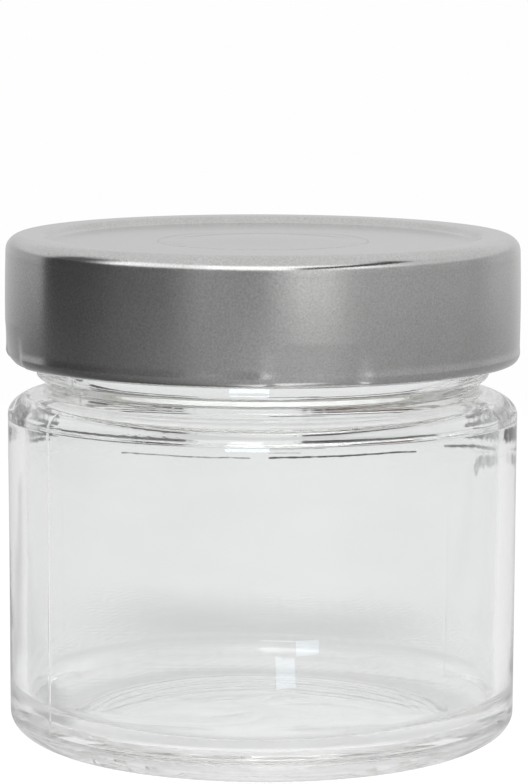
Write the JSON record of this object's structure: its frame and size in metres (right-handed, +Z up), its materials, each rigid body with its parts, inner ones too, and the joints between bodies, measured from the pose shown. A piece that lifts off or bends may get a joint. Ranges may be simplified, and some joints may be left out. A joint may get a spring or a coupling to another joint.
{
  "type": "glass food jar with lug lid",
  "caption": "Straight-sided clear glass food jar with a deep satin-silver twist-off metal lid, a sealing gasket and a safety button in the lid.",
  "frame": {"origin": "centre of the face the jar stands on", "axes": "+Z up the jar's axis through the lid; -Y towards the picture's viewer, +X to the viewer's right"},
  "size_m": [0.0738, 0.0738, 0.0735],
  "materials": {
    "glass": "clear flint glass, gloss",
    "tinplate": "satin silver lacquer",
    "compound": "matt off-white"
  },
  "bodies": {
    "jar": {"glass_jar": "glass"},
    "gasket": {"sealing_gasket": "compound"},
    "cap": {"lid_shell": "tinplate"},
    "button": {"safety_button": "tinplate"}
  },
  "joints": [
    {"name": "lid_lift", "type": "slide", "parent": "jar", "child": "gasket", "axis": [0, 0, 1], "range_m": [0, 0.08]},
    {"name": "lid_twist", "type": "hinge", "parent": "gasket", "child": "cap", "pos_m": [0, 0, 0.0735], "axis": [0, 0, 1], "range_deg": [-60, 0]},
    {"name": "button_press", "type": "slide", "parent": "cap", "child": "button", "axis": [0, 0, -1], "range_m": [0, 0.0008], "stiffness_N_per_m": 3000}
  ]
}
